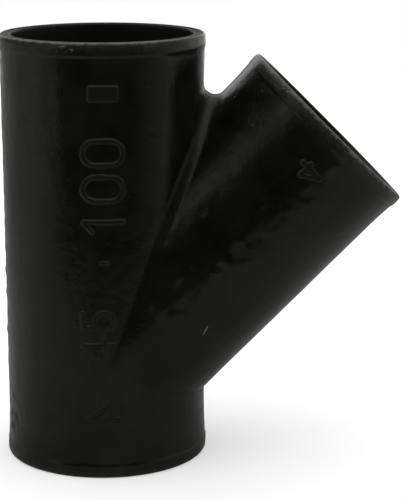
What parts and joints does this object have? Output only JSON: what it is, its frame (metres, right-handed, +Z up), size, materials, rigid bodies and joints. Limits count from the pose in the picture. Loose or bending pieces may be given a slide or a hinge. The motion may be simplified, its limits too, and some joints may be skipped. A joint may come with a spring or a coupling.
{
  "type": "lateral wye pipe fitting",
  "caption": "Hubless cast-iron drain fitting: a straight beaded pipe length with an equal-size beaded branch leaning off its side at 45 degrees.",
  "frame": {"origin": "centre of the bottom end face, on the axis of the straight run", "axes": "+Z up along the straight run, +X toward the side the branch leans to; the branch axis lies in the XZ plane, so XZ is the plane of symmetry"},
  "size_m": [0.2223, 0.1134, 0.238],
  "materials": {
    "coated_cast_iron": "sand-cast grey iron dipped in black bituminous coating, soft satin gloss, worn at the rims"
  },
  "bodies": {
    "root": {"wye_casting": "coated_cast_iron"}
  },
  "joints": []
}
